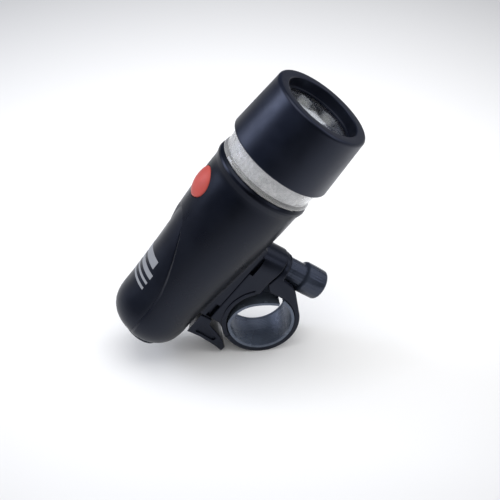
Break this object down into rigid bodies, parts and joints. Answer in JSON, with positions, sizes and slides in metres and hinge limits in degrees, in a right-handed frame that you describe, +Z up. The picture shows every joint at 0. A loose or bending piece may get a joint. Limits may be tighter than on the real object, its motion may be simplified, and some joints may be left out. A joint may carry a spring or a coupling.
{
  "type": "bicycle headlight",
  "caption": "Torch-shaped bicycle headlight with a screw-off head, push button and battery barrel, sliding off a latched rail on a handlebar clamp closed by a thumb screw.",
  "frame": {"origin": "middle of the clamp's bore, where the handlebar's axis crosses the torch's middle plane", "axes": "+Y along the handlebar, +X the horizontal heading of the beam, +Z up; the torch points forward and 53 degrees up, as the part stands on a table"},
  "size_m": [0.0856, 0.0388, 0.107],
  "materials": {
    "cap_abs": "satin moulded black",
    "barrel_abs": "satin moulded black",
    "panel_abs": "satin moulded black inlay",
    "clear_polycarbonate": "clear moulded",
    "reflector_chrome": "vacuum metallised",
    "led_epoxy": "clear epoxy dome",
    "board_laminate": "solder resist",
    "contact_brass": "stamped",
    "steel": "nickel plated",
    "inner_abs": "as moulded",
    "seal_rubber": "matt",
    "button_silicone": "soft satin red",
    "cell_can": "wrapped can",
    "bracket_nylon": "semi-gloss moulded black",
    "knob_nylon": "semi-gloss moulded black",
    "shim_rubber": "matt, finely ribbed"
  },
  "bodies": {
    "bracket": {"bracket_block": "bracket_nylon", "clamp_nut": "contact_brass"},
    "latch": {"latch_lever": "bracket_nylon"},
    "band": {"clamp_band": "bracket_nylon", "shim": "shim_rubber"},
    "washer": {"washer": "steel"},
    "screw": {"thumb_knob": "knob_nylon", "clamp_screw": "steel"},
    "torch": {"barrel": "barrel_abs", "top_panel": "panel_abs", "switch": "steel", "switch_board": "board_laminate", "battery_carrier": "inner_abs", "cells": "cell_can", "carrier_contacts": "steel", "tail_spring": "steel", "contact_strip": "contact_brass"},
    "push": {"button": "button_silicone", "switch_plunger": "inner_abs"},
    "seal": {"o_ring": "seal_rubber"},
    "head": {"head_cap": "cap_abs", "front_lens": "clear_polycarbonate", "clear_housing": "clear_polycarbonate", "reflector": "reflector_chrome", "side_reflector": "reflector_chrome", "leds": "led_epoxy", "led_board": "board_laminate", "board_pins": "contact_brass", "driver_board": "board_laminate", "driver_parts": "inner_abs", "front_spring": "steel"}
  },
  "joints": [
    {"name": "torch_slide", "type": "slide", "parent": "bracket", "child": "torch", "axis": [0.6018, 0, 0.7986], "range_m": [0, 0.03], "deforming": ["latch_lever"]},
    {"name": "latch_press", "type": "hinge", "parent": "bracket", "child": "latch", "pos_m": [-0.01076, 0, 0.0118], "axis": [0, -1, 0], "range_deg": [0, 6.3], "stiffness_Nm_per_rad": 0.7, "springref_deg": -1.72},
    {"name": "band_flex", "type": "hinge", "parent": "bracket", "child": "band", "pos_m": [-0.0115, 0, -0.00521], "axis": [0, 1, 0], "range_deg": [0, 3.92], "stiffness_Nm_per_rad": 0.4},
    {"name": "screw_advance", "type": "slide", "parent": "bracket", "child": "washer", "axis": [0.7986, 0, -0.6018], "range_m": [0, 0.0024]},
    {"name": "thumb_screw_turn", "type": "hinge", "parent": "washer", "child": "screw", "pos_m": [0.01186, 0, 0.01573], "axis": [0.7986, 0, -0.6018], "range_deg": [0, 1081]},
    {"name": "button_press", "type": "slide", "parent": "torch", "child": "push", "axis": [0.7986, 0, -0.6018], "range_m": [0, 0.0005], "stiffness_N_per_m": 2000, "springref_m": -0.0001},
    {"name": "head_advance", "type": "slide", "parent": "torch", "child": "seal", "axis": [0.6018, 0, 0.7986], "range_m": [0, 0.005]},
    {"name": "head_twist", "type": "hinge", "parent": "seal", "child": "head", "pos_m": [0.00729, 0, 0.0645], "axis": [0.6018, 0, 0.7986], "range_deg": [0, 721]}
  ],
  "couplings": [
    {"joint": "thumb_screw_turn", "follows": "screw_advance", "rad_per_m": 7854},
    {"joint": "band_flex", "follows": "screw_advance", "rad_per_m": 28.333},
    {"joint": "head_twist", "follows": "head_advance", "rad_per_m": 2513.3}
  ]
}
